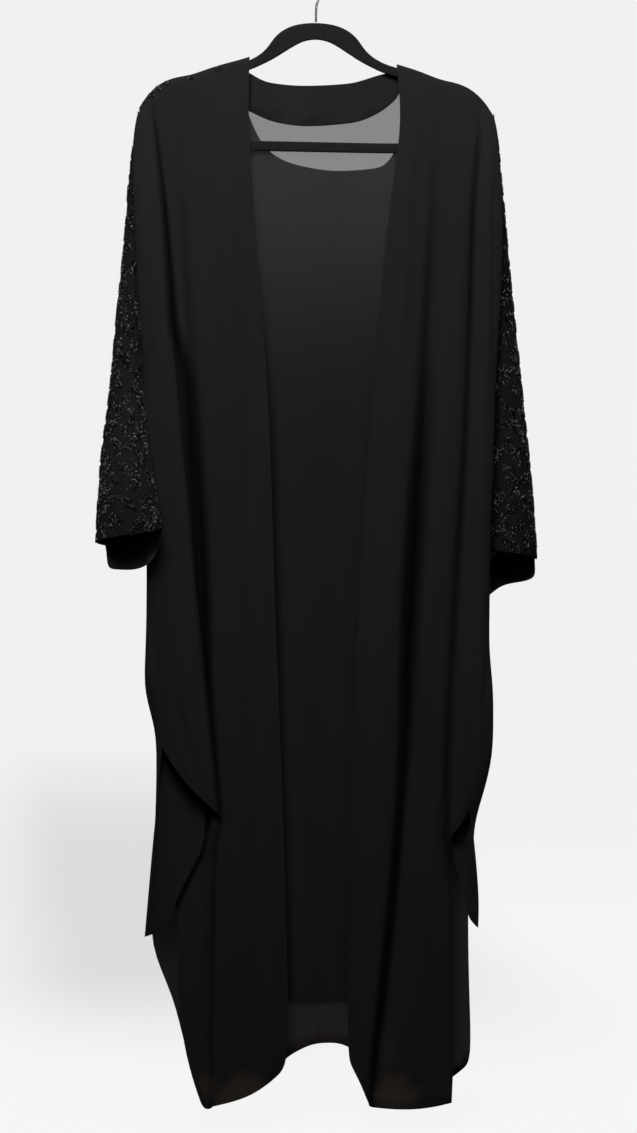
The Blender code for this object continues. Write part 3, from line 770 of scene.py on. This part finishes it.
# %% The finish of the beads and sequins
DULL, GLINT = 0.004, 0.22
glass = Paint("jet beads", Metallic=0.9)
cloudy = glass.noise(330.0, 0.0)
shine = glass.between(cloudy, 0.45, 0.7)
colour = glass.blend(shine, (DULL, DULL, DULL, 1), (GLINT, GLINT * 0.95, GLINT * 0.95, 1))
jet_beads = glass.finish(colour, 0.22 + cloudy * 0.08, None, cloudy, 0.0001)
print("bead finish:", jet_beads.name)

# %% [markdown]
# To lay a pattern round a sleeve, its section is measured at each height: the middle, half its width and
# half its depth. A place in the pattern is a distance round the tube and a distance down it.

# %% Sprays round the sleeves

SLICE = 0.022  # half the height of the slice that is measured
START_AWAY = 0.12


class Tube:
    """The sleeve's section at each height, so that a pattern can be wrapped round it."""

    def __init__(self, sleeve, spacing=0.01):
        places = points_of(sleeve)
        self.spacing, self.first = spacing, -places[:, 2].max()
        self.sections = []
        for drop in np.arange(self.first, -places[:, 2].min(), spacing):
            near = places[np.abs(places[:, 2] + drop) < SLICE]
            low, high = near.min(0), near.max(0)
            self.sections.append(((low + high) / 2, (high - low) / 2))

    def section(self, down):
        index = round((down - self.first) / self.spacing)
        return self.sections[int(np.clip(index, 0, len(self.sections) - 1))]

    def girth(self, down):
        _, half = self.section(down)
        return math.pi * (half[0] + half[1])

    def aim(self, across, down):
        middle, half = self.section(down)
        angle = 2 * math.pi * across / self.girth(down) - math.pi / 2
        direction = Vector((half[0] * math.cos(angle), half[1] * math.sin(angle), 0)).normalized()
        start = Vector((middle[0], middle[1], -down)) + direction * START_AWAY
        return start, -direction


ROW_STEP = 0.0235
COLUMN_STEP = 0.0255
SECOND_LEAF, VINE_SHARE, SEQUIN_SHARE = 0.7, 0.6, 0.34


def bead_sleeve(sleeve, name, top, cuff):
    """Leaf sprays in staggered rows, all round the sleeve and down to the cuff."""
    tube = Tube(sleeve)
    work = Beadwork(sleeve, tube.aim)
    for row, down in enumerate(np.arange(top, cuff - 0.006, ROW_STEP)):
        columns = max(3, round(tube.girth(down) / COLUMN_STEP))
        for column in range(columns):
            across = (column + 0.5 * (row % 2)) * tube.girth(down) / columns + random.uniform(-0.004, 0.004)
            middle = down + random.uniform(-0.006, 0.006)
            lean = random.choice((-0.9, -0.6, 0.7, 1.0)) + random.uniform(-0.25, 0.25)
            side = random.choice((-1, 1))
            work.leaf(across, middle, lean, random.uniform(0.020, 0.030), random.uniform(0.009, 0.012))
            if random.random() < SECOND_LEAF:
                work.leaf(across + side * 0.014, middle + 0.012, lean + side * 0.9, 0.018, 0.0075)
            if random.random() < VINE_SHARE:
                work.vine((across, middle), (across + random.uniform(-0.014, 0.014), middle + 0.028), 0.005)
            if random.random() < SEQUIN_SHARE:
                work.sequin(across + random.uniform(-0.01, 0.01), middle + random.uniform(-0.01, 0.01))
    work.close_batch()
    work.piece(name)


push(sleeve_left, 143, 412, 14, 60, 1.8)
bead_sleeve(sleeve_left, "sleeve_left_beads", 0.235, 0.812)
bead_sleeve(sleeve_right, "sleeve_right_beads", 0.245, 0.830)

# %% [markdown]
# A few small clusters of the same beads sit along each shoulder seam. The left seam rolls forward, so they
# show from the front. The right one rolls back, so its clusters lie behind.

# %% Sprays along the shoulders


def from_front(across, down):
    return Vector((across, -0.2, -down)), Vector((0, 1, 0))


def from_behind(across, down):
    return Vector((across, 0.2, -down)), Vector((0, -1, 0))


def bead_shoulder(cloth, aim, name, places):
    """Small clusters just under the seam line, each given as a pixel, a lean and a length in millimetres."""
    work = Beadwork(cloth, aim)
    for column, row, lean, length in places:
        x, z = at_pixel(column, row)
        work.leaf(x, -z, lean, length * MILLIMETRE, 0.0065)
    work.piece(name)


bead_shoulder(
    front_left,
    from_front,
    "shoulder_left_beads",
    [(152, 95, -1.0, 12), (159, 88, -0.7, 12), (168, 83.5, -0.4, 10), (192, 78, -0.3, 9), (219, 70, -0.3, 8)],
)
bead_shoulder(
    back,
    from_behind,
    "shoulder_right_beads",
    [(480, 103, 1.0, 12), (473, 96, 0.7, 12), (464, 92, 0.4, 10), (440, 85, 0.3, 9), (414, 78, 0.3, 8)],
)

# %% [markdown]
# The hanger keeps its own flat shape with softly rounded edges, and the hook is a round wire.

# %% Hanger
hanger = smoothed("hanger_frame", "hanger_velvet", velvet_finish)
hook = smoothed("hanger_hook", "hook_wire", wire_finish, 1)
for piece in (hanger, hook):
    print(piece.name, "has", len(piece.data.polygons), "faces")

# %% [markdown]
# Each cloth piece is listed with the size it was cut to, its area and what it rests on, and its size is
# printed.

Cut = namedtuple("Cut", "piece width length area rests_on")
for cut in (
    Cut(front_left, 0.24, 1.47, 0.27, ["hanger_frame"]),
    Cut(front_right, 0.25, 1.46, 0.27, ["hanger_frame"]),
    Cut(back, 0.56, 1.46, 0.68, ["hanger_frame"]),
    Cut(under, 0.44, 1.29, 0.46, ["hanger_frame"]),
    Cut(facing, 0.23, 0.08, 0.012, ["hanger_frame"]),
    Cut(wing_left, 0.25, 1.17, 0.15, ["hanger_frame"]),
    Cut(wing_right, 0.17, 1.15, 0.10, ["hanger_frame"]),
    Cut(sleeve_left, 0.21, 0.61, 0.09, [front_left]),
    Cut(sleeve_right, 0.20, 0.63, 0.09, [front_right]),
    Cut(lining_left, 0.20, 0.11, 0.013, [sleeve_left]),
    Cut(lining_right, 0.19, 0.15, 0.018, [sleeve_right]),
):
    print(cut.piece.name, "was cut", cut.width, "by", cut.length, "m")

# %% [markdown]
# The studio is one pale sweep: a floor that curves up into a wall, far out and all round. Its glow is a
# little darker behind the cloak, low and to the left, as a painted shadow of the cloak. Large soft lights
# stand in front and above, so black cloth keeps its form, brighter at the shoulders than at the hem. A third
# one lights the back.

# %% Sweep
FLOOR_Z = -1.63
FLOOR_REACH = 11.0  # how far out the floor starts to curve up
BEND = 2.0
WALL = 8.0
GLOW = 0.875
sweep = bmesh.new()
bmesh.ops.create_grid(sweep, x_segments=96, y_segments=60, size=1)
for vert in sweep.verts:
    turn_about = math.pi * vert.co.x
    run = (vert.co.y + 1) / 2 * (FLOOR_REACH + BEND * math.pi / 2 + WALL)
    bend = min(max(run - FLOOR_REACH, 0) / BEND, math.pi / 2)
    beyond = max(run - FLOOR_REACH - BEND * math.pi / 2, 0)
    reach = min(run, FLOOR_REACH) + BEND * math.sin(bend)
    height = FLOOR_Z + BEND * (1 - math.cos(bend)) + beyond
    vert.co = (reach * math.cos(turn_about), reach * math.sin(turn_about), height)
bmesh.ops.remove_doubles(sweep, verts=sweep.verts, dist=0.0001)
studio_mesh = bpy.data.meshes.new("studio_sweep")
sweep.to_mesh(studio_mesh)
sweep.free()
for face in studio_mesh.polygons:
    face.use_smooth = True
studio = bpy.data.objects.new("studio_sweep", studio_mesh)
bpy.context.scene.collection.objects.link(studio)
studio.visible_diffuse = False
studio.visible_glossy = False
pale = Paint("pale sweep", Specular_IOR_Level=0.0, Roughness=1.0, Emission_Strength=GLOW)
grain = pale.noise(1.5, 1.0)
deep = pale.place("Y")
across = pale.place("X") + 0.12 * deep
# painted shadow of the cloak: the glow is darker behind it, low and to the left
shade = pale.between(deep, 0.35, 1.5) * (1.0 - pale.between(deep, 2.0, 8.5))
shade = shade * pale.between(across, 0.75, 0.1) * pale.between(across, -0.5, -0.25, 0.3, 1.0)
pale.feed(pale.shader.inputs["Emission Color"], pale.blend(shade, (1, 1, 1, 1), (0.78, 0.78, 0.78, 1)))
studio_mesh.materials.append(pale.finish(pale.blend(grain, (0.05, 0.05, 0.05, 1), (0.06, 0.06, 0.06, 1))))
print("the sweep has", len(studio_mesh.polygons), "faces")

# %% Lights and surroundings
ROOM_LIGHT = 0.015
world = bpy.data.worlds.new("dim room")
bpy.context.scene.world = world
world.use_nodes = True
world.node_tree.nodes["Background"].inputs["Color"].default_value = (1, 1, 1, 1)
world.node_tree.nodes["Background"].inputs["Strength"].default_value = ROOM_LIGHT

Lamp = namedtuple("Lamp", "name place size power aim")
for lamp in (
    Lamp("key", (-0.42, -1.5, 1.1), 1.0, 48, (0, 0, -0.3)),
    Lamp("fill", (0.7, -1.5, 1.05), 1.0, 13, (0, 0, -0.3)),
    Lamp("back", (0.5, 2.0, 1.0), 1.2, 50, (0, 0, -0.5)),
):
    data = bpy.data.lights.new(lamp.name, "AREA")
    data.size, data.energy = lamp.size, lamp.power
    light = bpy.data.objects.new(lamp.name, data)
    light.location = lamp.place
    light.rotation_euler = (Vector(lamp.aim) - Vector(lamp.place)).to_track_quat("-Z", "Y").to_euler()
    bpy.context.scene.collection.objects.link(light)
    print(lamp.name, "light:", lamp.power, "W")
